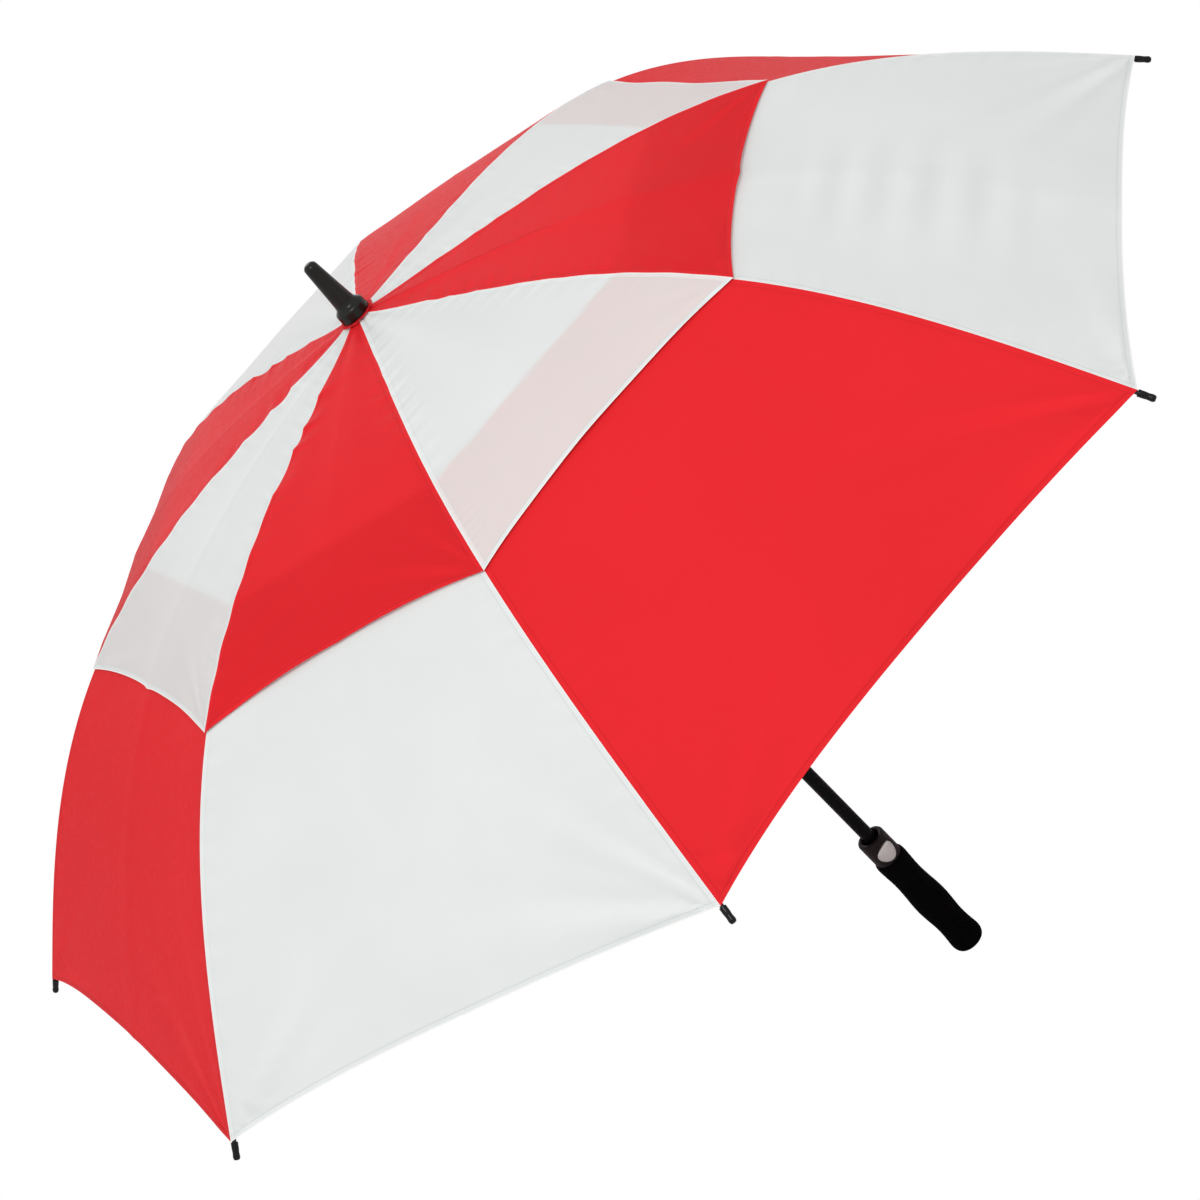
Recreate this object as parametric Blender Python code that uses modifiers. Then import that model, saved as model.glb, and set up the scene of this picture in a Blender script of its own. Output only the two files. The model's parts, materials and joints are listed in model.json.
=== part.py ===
"""Vented golf umbrella, open: shaft, folding rib frame, two-layer canopy, runner and push-button handle.

+Z runs up the shaft and the origin is the middle of the handle's flat end. Lengths are in metres.
"""
import math

import bmesh
import bpy
from mathutils import Matrix, Vector

PANELS = 8
PANEL_ANGLE = 2 * math.pi / PANELS
HALF_PANEL = PANEL_ANGLE / 2
CLEAR = 0.0003

# Rib line in its own upright plane: it leaves the hub with a slope of RIB_LEAN, bends down and straightens again
RIB_TOP = 0.9205
RIB_LEAN = 0.1171
RIB_BEND = 3.897
BEND_POWER = 4.5
RIB_EASE = 3.775
EASE_POWER = 5.5
ROD_RADIUS = 0.0019
NOTCH_PIVOT_R = 0.0125
CLIP_R = 0.335
TIP_R = 0.660
BLADE_THICK = 0.0020
EYE_RADIUS = 0.0024
EYE_HOLE = 0.0012

# Moulded joint on the rib, measured along the rib (outward) and square to it (upward)
CLIP_STRETCHER_PIVOT = (-0.003, -0.0085)
CLIP_OUTER_PIVOT = (0.007, -0.0012)
CLIP_WIDTH = 0.0054
CLIP_SLOT = 0.0026
PIN_RADIUS = 0.0009

# Fabric: clearance from the rib line to its underside, thickness and shape
FABRIC = 0.0010
LOWER_LIFT = 0.0028
UPPER_LIFT = 0.0045
UPPER_HEM_R = 0.402
LOWER_INNER_R = 0.298
APEX_HOLE_R = 0.0086
UPPER_SCALLOP = 0.0105
LOWER_SCALLOP = 0.0105
HEM_POWER = 2.6
UPPER_SAG = 0.0
LOWER_SAG = 0.003
SEAM_GAP = 0.0002
UPPER_GRID = (10, 6)
LOWER_GRID = (10, 8)
STRAP_GORE = 5
STRAP_WIDTH = 0.024
STRAP_SPAN = (0.43, 0.57)
STRAP_THICK = 0.0012
CAP_LENGTH = 0.0150

SHAFT_RADIUS = 0.0070
SHAFT_BORE = 0.0060
SHAFT_BOTTOM = 0.0100
SHAFT_TOP = 0.9480
SLOT_AZIMUTH = math.radians(112.5)
SLOT_WIDTH = 0.0034
SLOT_SPAN = (0.150, 0.612)

RUNNER_PIVOT_R = 0.0160
RUNNER_PIVOT_Z = 0.5900
RUNNER_FLANGE_R = 0.0185
RUNNER_BORE = 0.0073
RUNNER_SLEEVE_R = 0.0096
JOINT_SLOT = 0.0030

COLLAR_RADIUS = 0.0150
COLLAR_SPAN = (0.1400, 0.1710)
CUP_RADIUS = 0.0104
CUP_FLOOR = 0.1600
SPIGOT_BOTTOM = 0.0900
SPIGOT_RADIUS = 0.0105
BUTTON_AZIMUTH = math.radians(-70.0)
BUTTON_Z = 0.1530
BUTTON_HEIGHT = 0.0218
BUTTON_WIDTH = 0.0184
BUTTON_LEAN = math.radians(40.0)
BUTTON_FACE_R = 0.0158
BUTTON_BACK_R = 0.0122
EGG_SIDES = 24
EGG_TAPER = 0.17
POCKET_FLOOR_R = 0.0108
SPRING_BORE_R = 0.0036
SPRING_SEAT_R = 0.0083

FERRULE_BOTTOM = 0.9268
FERRULE_TIP = 0.9890
ROSETTE_SPAN = (0.9256, 0.9265)

RED = (0.74, 0.035, 0.045)
WHITE = (0.86, 0.87, 0.87)


def rib_height(radius):
    drop = RIB_LEAN * radius + RIB_BEND * radius ** BEND_POWER - RIB_EASE * radius ** EASE_POWER
    return RIB_TOP - drop


def rib_slope(radius):
    """Angle of the rib below level at this radius."""
    bend = BEND_POWER * RIB_BEND * radius ** (BEND_POWER - 1)
    ease = EASE_POWER * RIB_EASE * radius ** (EASE_POWER - 1)
    return math.atan(RIB_LEAN + bend - ease)


def beside_rib(radius, along, up):
    """Point in the rib's plane, from the rib line at this radius, along it and square to it."""
    angle = rib_slope(radius)
    x = radius + along * math.cos(angle) + up * math.sin(angle)
    z = rib_height(radius) - along * math.sin(angle) + up * math.cos(angle)
    return x, z


NOTCH_PIVOT = (NOTCH_PIVOT_R, rib_height(NOTCH_PIVOT_R))
STRETCHER_PIVOT = beside_rib(CLIP_R, *CLIP_STRETCHER_PIVOT)
OUTER_PIVOT = beside_rib(CLIP_R, *CLIP_OUTER_PIVOT)
RUNNER_PIVOT = (RUNNER_PIVOT_R, RUNNER_PIVOT_Z)


def empty_scene():
    for item in list(bpy.data.objects):
        bpy.data.objects.remove(item, do_unlink=True)


def collection(name):
    made = bpy.data.collections.new(name)
    bpy.context.scene.collection.children.link(made)
    return made


def material(name, colour, roughness, metallic=0.0):
    made = bpy.data.materials.new(name)
    made.use_nodes = True
    shader = made.node_tree.nodes["Principled BSDF"]
    shader.inputs["Base Color"].default_value = (*colour, 1.0)
    shader.inputs["Roughness"].default_value = roughness
    shader.inputs["Metallic"].default_value = metallic
    made.diffuse_color = (*colour, 1.0)
    return made


def link(name, mesh, target=None):
    made = bpy.data.objects.new(name, mesh)
    (target or PARTS).objects.link(made)
    return made


def mesh_from(name, build):
    """Mesh filled by build(bm)."""
    mesh = bpy.data.meshes.new(name)
    bm = bmesh.new()
    build(bm)
    bmesh.ops.recalc_face_normals(bm, faces=bm.faces)
    bm.to_mesh(mesh)
    bm.free()
    return mesh


def evaluated_mesh(item, name):
    """Mesh of an object with its modifiers run and its own placing taken in; the object is removed."""
    bpy.context.view_layer.update()
    graph = bpy.context.evaluated_depsgraph_get()
    mesh = bpy.data.meshes.new_from_object(item.evaluated_get(graph))
    mesh.transform(item.matrix_world)
    mesh.name = name
    bm = bmesh.new()
    bm.from_mesh(mesh)
    bmesh.ops.remove_doubles(bm, verts=bm.verts, dist=0.000002)
    bm.to_mesh(mesh)
    bm.free()
    bpy.data.objects.remove(item, do_unlink=True)
    return mesh


def finish(item, look, sharp=35):
    """Give an object its material and smooth shading with sharp corners kept."""
    item.data.materials.clear()
    item.data.materials.append(look)
    item.data.shade_smooth()
    item.data.set_sharp_from_angle(angle=math.radians(sharp))
    return item


def turned(name, profile, steps, target=None, closed=True):
    """Turned shape about its own Z from (radius, height) points; a closed profile is a ring."""
    mesh = bpy.data.meshes.new(name)
    bm = bmesh.new()
    verts = [bm.verts.new((radius, 0.0, height)) for radius, height in profile]
    pairs = list(zip(verts, verts[1:]))
    if closed:
        pairs.append((verts[-1], verts[0]))
    for a, b in pairs:
        bm.edges.new((a, b))
    bm.to_mesh(mesh)
    bm.free()
    item = link(name, mesh, target)
    screw = item.modifiers.new("Turn", "SCREW")
    screw.axis = "Z"
    screw.angle = 2 * math.pi
    screw.steps = steps
    screw.render_steps = steps
    screw.use_merge_vertices = True
    screw.merge_threshold = 0.00001
    return item


def plate(name, outline, holes, thickness):
    """Flat plate in the XZ plane, centred on Y, from an outline and round holes (x, z, radius, sides)."""
    curve = bpy.data.curves.new(name, "CURVE")
    curve.dimensions = "2D"
    curve.fill_mode = "BOTH"
    curve.extrude = thickness / 2
    loops = [outline]
    for x, z, radius, sides in holes:
        loops.append(circle(x, z, radius, sides))
    for loop in loops:
        spline = curve.splines.new("POLY")
        spline.points.add(len(loop) - 1)
        spline.use_cyclic_u = True
        for point, (x, z) in zip(spline.points, loop):
            point.co = (x, z, 0.0, 1.0)
    item = link(name, curve, SCRAP)
    item.rotation_euler = (math.pi / 2, 0.0, 0.0)
    return link(name, evaluated_mesh(item, name), SCRAP)


def circle(x, z, radius, sides, start=0.0, sweep=2 * math.pi):
    """Points round a circle, or an arc of one with both ends in."""
    whole = abs(sweep - 2 * math.pi) < 1e-6
    count = sides if whole else sides + 1
    points = []
    for i in range(count):
        angle = start + sweep * i / sides
        points.append((x + radius * math.cos(angle), z + radius * math.sin(angle)))
    return points


def rod(name, points, radius, sides_level=1):
    """Round rod along points in the XZ plane."""
    curve = bpy.data.curves.new(name, "CURVE")
    curve.dimensions = "3D"
    curve.bevel_depth = radius
    curve.bevel_resolution = sides_level
    curve.use_fill_caps = True
    spline = curve.splines.new("POLY")
    spline.points.add(len(points) - 1)
    for point, place in zip(spline.points, points):
        x, y, z = place if len(place) == 3 else (place[0], 0.0, place[1])
        point.co = (x, y, z, 1.0)
    item = link(name, curve, SCRAP)
    return link(name, evaluated_mesh(item, name), SCRAP)


def box(name, low, high):
    """Box between two corners."""
    centre = [(a + b) / 2 for a, b in zip(low, high)]
    size = [b - a for a, b in zip(low, high)]

    def build(bm):
        place = Matrix.Translation(centre) @ Matrix.Diagonal((*size, 1.0))
        bmesh.ops.create_cube(bm, size=1.0, matrix=place)

    return link(name, mesh_from(name, build), SCRAP)


def cylinder(name, radius, low, high, sides, place=None):
    """Cylinder along Z between two heights, then moved by place."""
    height = high - low
    matrix = (place or Matrix()) @ Matrix.Translation((0.0, 0.0, low + height / 2))

    def build(bm):
        bmesh.ops.create_cone(
            bm, cap_ends=True, segments=sides, radius1=radius, radius2=radius, depth=height, matrix=matrix
        )

    return link(name, mesh_from(name, build), SCRAP)


def combine(name, base, steps):
    """Run Booleans (operation, object) on base in turn and return the finished mesh."""
    for operation, tool in steps:
        tool.hide_render = True
        tool.display_type = "WIRE"
        modifier = base.modifiers.new(operation, "BOOLEAN")
        modifier.operation = operation
        modifier.solver = "EXACT"
        modifier.object = tool
    mesh = evaluated_mesh(base, name)
    for _, tool in steps:
        bpy.data.objects.remove(tool, do_unlink=True)
    return mesh


def turned_scrap(name, profile, steps):
    return link(name, evaluated_mesh(turned(name, profile, steps, SCRAP), name), SCRAP)


def around(mesh, name, k, origin, look):
    """Copy k of a rib-plane piece, with its origin at (radius, height) in the plane of rib k."""
    item = link(name + "_" + str(k), mesh)
    angle = -PANEL_ANGLE * k
    item.location = (origin[0] * math.cos(angle), origin[0] * math.sin(angle), origin[1])
    item.rotation_euler = (0.0, 0.0, angle)
    return finish(item, look)


def stations(low, high, count):
    return [low + (high - low) * i / count for i in range(count + 1)]


def unit(start, end):
    """Unit direction (x, z) from one point to another."""
    gap = Vector(end) - Vector(start)
    return tuple(gap.normalized())


def eye_blade(name, start, direction, reach):
    """Flat blade with a round eye at start, running reach along direction (a unit (x, z))."""
    turn = math.atan2(direction[1], direction[0])
    arc = circle(start[0], start[1], EYE_RADIUS, 6, turn + math.radians(50), math.radians(260))
    half = ROD_RADIUS * 0.86
    far = []
    for side in (-1, 1):
        x = start[0] + direction[0] * reach - direction[1] * half * side
        z = start[1] + direction[1] * reach + direction[0] * half * side
        far.append((x, z))
    hole = (start[0], start[1], EYE_HOLE, 8)
    return plate(name, arc + far, [hole], BLADE_THICK)


def inner_rib_mesh():
    """Inner rib from the notch eye to the moulded joint that holds the stretcher and the outer rib."""
    slope = rib_slope(CLIP_R)
    first = rib_slope(NOTCH_PIVOT_R)
    blade = eye_blade("blade", NOTCH_PIVOT, (math.cos(first), -math.sin(first)), 0.0100)
    line = [(r, rib_height(r)) for r in stations(NOTCH_PIVOT_R + 0.0080, CLIP_R, 7)]
    wire = rod("wire", line, ROD_RADIUS)
    low = CLIP_STRETCHER_PIVOT[1]
    fork = CLIP_OUTER_PIVOT
    outline = [(-0.0100, 0.0006), (-0.0100, -0.0026), (-0.0064, low)]
    outline += circle(CLIP_STRETCHER_PIVOT[0], low, 0.0026, 4, math.radians(200), math.radians(150))
    outline += [(0.0004, -0.0040), (0.0024, -0.0027)]
    outline += circle(fork[0], fork[1], 0.0021, 4, math.radians(-90), math.radians(180))
    outline += [(0.0030, 0.0010)]
    body = plate("clip", outline, [], CLIP_WIDTH)
    half = CLIP_SLOT / 2
    lower = box("lower_slot", (-0.0098, -half, low - 0.004), (0.0040, half, -0.0032))
    outer = box("outer_slot", (fork[0] - 0.0031, -half, -0.01), (fork[0] + 0.004, half, 0.01))
    upright = Matrix.Rotation(math.pi / 2, 4, "X")
    wide = CLIP_WIDTH / 2 - 0.0004
    pins = []
    for name, pivot in (("stretcher_pin", CLIP_STRETCHER_PIVOT), ("outer_pin", fork)):
        place = Matrix.Translation((pivot[0], 0.0, pivot[1])) @ upright
        pins.append(cylinder(name, PIN_RADIUS, -wide, wide, 8, place))
    tilt = Matrix.Translation((CLIP_R, 0.0, rib_height(CLIP_R))) @ Matrix.Rotation(slope, 4, "Y")
    steps = [("DIFFERENCE", lower), ("DIFFERENCE", outer)] + [("UNION", pin) for pin in pins]
    joint = link("joint", combine("joint", body, steps), SCRAP)
    joint.data.transform(tilt)
    mesh = combine("inner_rib", wire, [("UNION", blade), ("UNION", joint)])
    mesh.transform(Matrix.Translation((-NOTCH_PIVOT[0], 0.0, -NOTCH_PIVOT[1])))
    return mesh


def outer_rib_mesh():
    """Outer rib from its eye in the moulded joint to the end inside the tip cap."""
    meets = beside_rib(CLIP_R, 0.0170, 0.0)
    blade = eye_blade("blade", OUTER_PIVOT, unit(OUTER_PIVOT, meets), 0.0100)
    start = beside_rib(CLIP_R, 0.0130, 0.0)[0]
    line = [(r, rib_height(r)) for r in stations(start, TIP_R, 8)]
    line.append(beside_rib(TIP_R, 0.0085, 0.0))
    wire = rod("wire", line, ROD_RADIUS)
    mesh = combine("outer_rib", wire, [("UNION", blade)])
    mesh.transform(Matrix.Translation((-OUTER_PIVOT[0], 0.0, -OUTER_PIVOT[1])))
    return mesh


def stretcher_mesh():
    """Straight stretcher with an eye at the rib joint and one at the runner."""
    top = Vector(STRETCHER_PIVOT)
    foot = Vector(RUNNER_PIVOT)
    along = (foot - top).normalized()
    upper = eye_blade("upper", top, along, 0.0170)
    lower = eye_blade("lower", foot, -along, 0.0120)
    line = [tuple(top + along * 0.0150), tuple(foot - along * 0.0100)]
    wire = rod("wire", line, ROD_RADIUS)
    mesh = combine("stretcher", wire, [("UNION", upper), ("UNION", lower)])
    mesh.transform(Matrix.Translation((-top.x, 0.0, -top.y)))
    return mesh


def tip_cap_mesh():
    """Moulded cap on the rib end: sleeve, waist and rounded head, along +Z of its own frame."""
    head = [(0.0, CAP_LENGTH)] + circle(0.0, CAP_LENGTH - 0.0029, 0.0029, 3, math.radians(60), math.radians(-60))
    profile = head + [(0.0026, 0.0088), (0.0029, 0.0060), (0.0029, 0.0006)]
    profile += [(0.0022, 0.0006), (0.0022, 0.0092), (0.0, 0.0098)]
    mesh = evaluated_mesh(turned("tip_cap", profile, 10, SCRAP, closed=False), "tip_cap")
    mesh.transform(Matrix.Rotation(math.pi / 2, 4, "Y"))
    mesh.transform(Matrix.Rotation(rib_slope(TIP_R), 4, "Y"))
    return mesh


def gore_point(radius, across, lift, sag):
    """Point of a panel in the frame of its middle: across runs -1 to 1 between its two ribs."""
    slope = math.atan(math.tan(rib_slope(radius)) / math.cos(HALF_PANEL))
    width = radius * math.sin(HALF_PANEL)
    hollow = sag * (width / TIP_R) * 2 * (1 - across * across)
    rib_x, rib_z = beside_rib(radius, 0.0, lift)
    x = rib_x * math.cos(HALF_PANEL) - hollow * math.sin(slope)
    y = across * (rib_x * math.sin(HALF_PANEL) - SEAM_GAP)
    z = rib_z - hollow * math.cos(slope)
    return x, y, z


def gore_mesh(name, span, scallop, lift, sag, rows, columns, origin):
    """Open sheet of one panel between two radii with a scalloped hem."""

    def build(bm):
        grid = []
        for row in range(rows + 1):
            line = []
            for column in range(columns + 1):
                across = 2 * column / columns - 1
                share = row / rows
                hem = span[1] - scallop * (1 - abs(across) ** HEM_POWER)
                radius = span[0] + (hem - span[0]) * share
                x, y, z = gore_point(radius, across, lift, sag)
                line.append(bm.verts.new((x - origin[0], y, z - origin[1])))
            grid.append(line)
        for first, second in zip(grid, grid[1:]):
            for i in range(columns):
                bm.faces.new((first[i], second[i], second[i + 1], first[i + 1]))

    mesh = bpy.data.meshes.new(name)
    bm = bmesh.new()
    build(bm)
    bm.to_mesh(mesh)
    bm.free()
    return mesh


def gores(name, span, scallop, lift, sag, rows, columns, origin, looks):
    """Ring of panels, each a sheet with Solidify, its origin on its own folding axis."""
    mesh_pair = []
    for shade in range(2):
        sheet = gore_mesh(name, span, scallop, lift, sag, rows, columns, origin)
        sheet.materials.append(looks[shade])
        mesh_pair.append(sheet)
    for k in range(PANELS):
        item = link(name + "_" + str(k), mesh_pair[k % 2])
        angle = -PANEL_ANGLE * (k + 0.5)
        item.location = (origin[0] * math.cos(angle), origin[0] * math.sin(angle), origin[1])
        item.rotation_euler = (0.0, 0.0, angle)
        skin = item.modifiers.new("Cloth", "SOLIDIFY")
        skin.thickness = FABRIC
        skin.offset = 1.0
        skin.use_even_offset = True
    for sheet in mesh_pair:
        sheet.shade_smooth()


def canopy(red, white):
    upper_origin = (NOTCH_PIVOT[0] * math.cos(HALF_PANEL), NOTCH_PIVOT[1])
    gores(
        "upper_gore", (APEX_HOLE_R, UPPER_HEM_R), UPPER_SCALLOP, UPPER_LIFT, UPPER_SAG, *UPPER_GRID,
        upper_origin, (red, white),
    )
    lower_origin = (OUTER_PIVOT[0] * math.cos(HALF_PANEL), OUTER_PIVOT[1])
    gores(
        "lower_gore", (LOWER_INNER_R, TIP_R), LOWER_SCALLOP, LOWER_LIFT, LOWER_SAG, *LOWER_GRID,
        lower_origin, (white, red),
    )


def closure_strap(look):
    """Wrap-round closing strap, sewn to one lower panel along its middle and lying on its outside."""
    radii = stations(*STRAP_SPAN, 5)
    origin = (OUTER_PIVOT[0] * math.cos(HALF_PANEL), OUTER_PIVOT[1])

    def build(bm):
        grid = []
        for radius in radii:
            x, _, z = gore_point(radius, 0.0, LOWER_LIFT + FABRIC * 1.9, LOWER_SAG)
            sides = (-STRAP_WIDTH / 2, STRAP_WIDTH / 2)
            grid.append([bm.verts.new((x - origin[0], y, z - origin[1])) for y in sides])
        for first, second in zip(grid, grid[1:]):
            bm.faces.new((first[0], second[0], second[1], first[1]))

    mesh = bpy.data.meshes.new("closure_strap")
    bm = bmesh.new()
    build(bm)
    bm.to_mesh(mesh)
    bm.free()
    item = link("closure_strap", mesh)
    angle = -PANEL_ANGLE * (STRAP_GORE + 0.5)
    item.location = (origin[0] * math.cos(angle), origin[0] * math.sin(angle), origin[1])
    item.rotation_euler = (0.0, 0.0, angle)
    skin = item.modifiers.new("Webbing", "SOLIDIFY")
    skin.thickness = STRAP_THICK
    skin.offset = 1.0
    mesh.materials.append(look)


def top_notch(look):
    """Hub that holds the rib eyes: a ring of slots and a groove for the tying wire."""
    z = NOTCH_PIVOT[1]
    groove = 0.0009
    profile = [
        (0.0150, z + 0.0030), (0.0150, z + groove), (0.0116, z + groove), (0.0116, z - groove),
        (0.0150, z - groove), (0.0150, z - 0.0050), (0.0105, z - 0.0110), (0.0072, z - 0.0110),
        (0.0072, z + 0.0030),
    ]
    body = turned_scrap("hub", profile, 32)
    mesh = combine("top_notch", body, slot_cuts(0.0095, 0.02, z - 0.02, z + 0.02))
    finish(link("top_notch", mesh), look)


def slot_cuts(inner, outer, low, high):
    """One radial slot cutter for each rib."""
    cuts = []
    for k in range(PANELS):
        cut = box("slot", (inner, -JOINT_SLOT / 2, low), (outer, JOINT_SLOT / 2, high))
        cut.data.transform(Matrix.Rotation(-PANEL_ANGLE * k, 4, "Z"))
        cuts.append(("DIFFERENCE", cut))
    return cuts


def notch_wire(look):
    """Tying wire through the eight rib eyes."""
    z = NOTCH_PIVOT[1]
    profile = circle(NOTCH_PIVOT_R, z, 0.0005, 6, math.pi / 2, -2 * math.pi)[:6]
    finish(turned("notch_wire", profile, 32), look, 60)


def runner(look):
    """Sliding runner: sleeve, slotted flange for the stretcher eyes and a lug into the shaft slot."""
    z = RUNNER_PIVOT_Z
    profile = [
        (0.0094, z + 0.0180), (0.0102, z + 0.0060), (RUNNER_FLANGE_R, z + 0.0040),
        (RUNNER_FLANGE_R, z - 0.0040), (0.0110, z - 0.0060), (RUNNER_SLEEVE_R, z - 0.0080),
        (RUNNER_SLEEVE_R, z - 0.0230), (RUNNER_BORE, z - 0.0230), (RUNNER_BORE, z + 0.0180),
    ]
    body = turned_scrap("sleeve", profile, 24)
    cuts = slot_cuts(0.0122, 0.03, z - 0.02, z + 0.02)
    lug = box("lug", (0.0008, -0.0012, z - 0.0030), (0.0085, 0.0012, z + 0.0030))
    lug.data.transform(Matrix.Rotation(SLOT_AZIMUTH, 4, "Z"))
    mesh = combine("runner", body, cuts + [("UNION", lug)])
    finish(link("runner", mesh), look)


def shaft(look):
    """Tube closed at the bottom, with the slot the runner's lug slides in."""
    outside = cylinder("outside", SHAFT_RADIUS, SHAFT_BOTTOM, SHAFT_TOP, 24)
    inside = cylinder("inside", SHAFT_BORE, SHAFT_BOTTOM + 0.003, SHAFT_TOP + 0.01, 24)
    half = SLOT_WIDTH / 2
    slot = box("slot", (0.003, -half, SLOT_SPAN[0]), (0.012, half, SLOT_SPAN[1]))
    slot.data.transform(Matrix.Rotation(SLOT_AZIMUTH, 4, "Z"))
    mesh = combine("shaft", outside, [("DIFFERENCE", inside), ("DIFFERENCE", slot)])
    finish(link("shaft", mesh), look)


def coil(name, radius, wire, low, high, turns, per_turn, look, place=None):
    """Coil spring along Z between two heights, ends included."""
    bottom = low + wire
    top = high - wire
    count = turns * per_turn
    points = []
    for i in range(count + 1):
        angle = 2 * math.pi * i / per_turn
        height = bottom + (top - bottom) * i / count
        points.append((radius * math.cos(angle), radius * math.sin(angle), height))
    made = rod(name, points, wire, 2)
    mesh = made.data
    if place:
        mesh.transform(place)
    bpy.data.objects.remove(made, do_unlink=True)
    return finish(link(name, mesh), look, 60)


def foam_grip(look):
    """Contoured grip: wide under the collar, swelling, waisted, then flaring to a rounded flat end."""
    top = COLLAR_SPAN[0] - 0.0004
    profile = [
        (0.0, top), (0.0158, top), (0.0166, 0.1380), (0.0170, 0.1335), (0.0165, 0.1240), (0.0158, 0.1100),
        (0.0160, 0.0990), (0.0166, 0.0890), (0.0174, 0.0790), (0.0178, 0.0680), (0.0175, 0.0590),
        (0.0166, 0.0475), (0.0160, 0.0370), (0.0163, 0.0250), (0.0171, 0.0155), (0.0175, 0.0100),
        (0.0171, 0.0055), (0.0154, 0.0018), (0.0120, 0.0), (0.0, 0.0),
    ]
    body = turned("body", profile, 28, SCRAP, closed=False)
    solid = link("solid", evaluated_mesh(body, "solid"), SCRAP)
    step = SPIGOT_BOTTOM - CLEAR
    inner = cylinder("inner", SHAFT_RADIUS + CLEAR, SHAFT_BOTTOM - CLEAR, step + 0.001, 24)
    outer = cylinder("outer", SPIGOT_RADIUS + CLEAR, step, top + 0.01, 32)
    mesh = combine("foam_grip", solid, [("DIFFERENCE", inner), ("DIFFERENCE", outer)])
    finish(link("foam_grip", mesh), look)


def egg(height, width, grow):
    """Egg outline (across, up) whose narrow end leans to one side of the shaft."""
    lean = Matrix.Rotation(-BUTTON_LEAN, 2)
    points = []
    for i in range(EGG_SIDES):
        angle = 2 * math.pi * i / EGG_SIDES
        up = math.sin(angle)
        half = width / 2 * (1 - EGG_TAPER * up)
        point = lean @ Vector(((half + grow) * math.cos(angle), (height / 2 + grow) * up))
        points.append(tuple(point))
    return points


def radial(azimuth, height):
    """Frame whose +X points outward at an azimuth, at a height."""
    return Matrix.Translation((0.0, 0.0, height)) @ Matrix.Rotation(azimuth, 4, "Z")


def egg_block(name, grow, inner, outer):
    """Egg-shaped block reaching between two radii, in the button's direction."""
    block = plate(name, egg(BUTTON_HEIGHT, BUTTON_WIDTH, grow), [], outer - inner)
    turn = Matrix.Rotation(math.pi / 2, 4, "Z")
    place = radial(BUTTON_AZIMUTH, BUTTON_Z) @ Matrix.Translation(((inner + outer) / 2, 0.0, 0.0)) @ turn
    block.data.transform(place)
    return block


def along_button():
    """Frame whose +Z points outward through the middle of the button."""
    return radial(BUTTON_AZIMUTH, BUTTON_Z) @ Matrix.Rotation(math.pi / 2, 4, "Y")


def handle_collar(look):
    """Collar with a cup for the runner, a pocket for the button and a spigot into the grip."""
    low, high = COLLAR_SPAN
    profile = [
        (0.0122, high), (0.0143, high - 0.0006), (COLLAR_RADIUS, high - 0.0020), (COLLAR_RADIUS, low),
        (SPIGOT_RADIUS, low), (SPIGOT_RADIUS, SPIGOT_BOTTOM), (0.0073, SPIGOT_BOTTOM),
        (0.0073, CUP_FLOOR), (CUP_RADIUS, CUP_FLOOR), (CUP_RADIUS, high - 0.0006),
    ]
    body = turned_scrap("collar", profile, 32)
    pocket = egg_block("pocket", 0.0004, POCKET_FLOOR_R, 0.020)
    bore = cylinder("bore", SPRING_BORE_R, SPRING_SEAT_R, 0.012, 16, along_button())
    mesh = combine("handle_collar", body, [("DIFFERENCE", pocket), ("DIFFERENCE", bore)])
    finish(link("handle_collar", mesh), look)


def push_button(look):
    """Release button: egg with a face curved round the shaft and a stem into its spring."""
    block = egg_block("block", 0.0, BUTTON_BACK_R, BUTTON_FACE_R + 0.002)
    round_face = cylinder("face", BUTTON_FACE_R, BUTTON_Z - 0.02, BUTTON_Z + 0.02, 64)
    face = link("face_block", combine("face_block", block, [("INTERSECT", round_face)]), SCRAP)
    stem = cylinder("stem", 0.0015, 0.0102, BUTTON_BACK_R + 0.0004, 10, along_button())
    mesh = combine("push_button", face, [("UNION", stem)])
    finish(link("push_button", mesh), look)


def ferrule(look):
    """Moulded ferrule: drum, chamfer, tapering spike and rounded tip."""
    low, tip = FERRULE_BOTTOM, FERRULE_TIP
    profile = [(0.0, tip), (0.0032, tip - 0.0005), (0.0054, tip - 0.0021), (0.0065, tip - 0.0048)]
    profile += [(0.0096, low + 0.0152), (0.0108, low + 0.0130), (0.0139, low + 0.0104), (0.0147, low + 0.0090)]
    profile += [(0.0147, low + 0.0008), (0.0142, low), (0.0, low)]
    solid = link("solid", evaluated_mesh(turned("spike", profile, 28, SCRAP, closed=False), "solid"), SCRAP)
    bore = cylinder("bore", SHAFT_RADIUS + CLEAR, low - 0.01, SHAFT_TOP + 0.0005, 24)
    mesh = combine("ferrule", solid, [("DIFFERENCE", bore)])
    finish(link("ferrule", mesh), look)


def rosette(look):
    """Fabric washer between the canopy and the ferrule."""
    low, high = ROSETTE_SPAN
    profile = [(0.0178, high), (0.0178, low), (0.0074, low), (0.0074, high)]
    finish(turned("canopy_washer", profile, 28), look)


def frame_parts(steel, plastic):
    inner = inner_rib_mesh()
    outer = outer_rib_mesh()
    stretcher = stretcher_mesh()
    cap = tip_cap_mesh()
    cap_origin = (TIP_R, rib_height(TIP_R))
    for k in range(PANELS):
        around(inner, "inner_rib", k, NOTCH_PIVOT, steel)
        around(outer, "outer_rib", k, OUTER_PIVOT, steel)
        around(stretcher, "stretcher", k, STRETCHER_PIVOT, steel)
        around(cap, "tip_cap", k, cap_origin, plastic)


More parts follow.
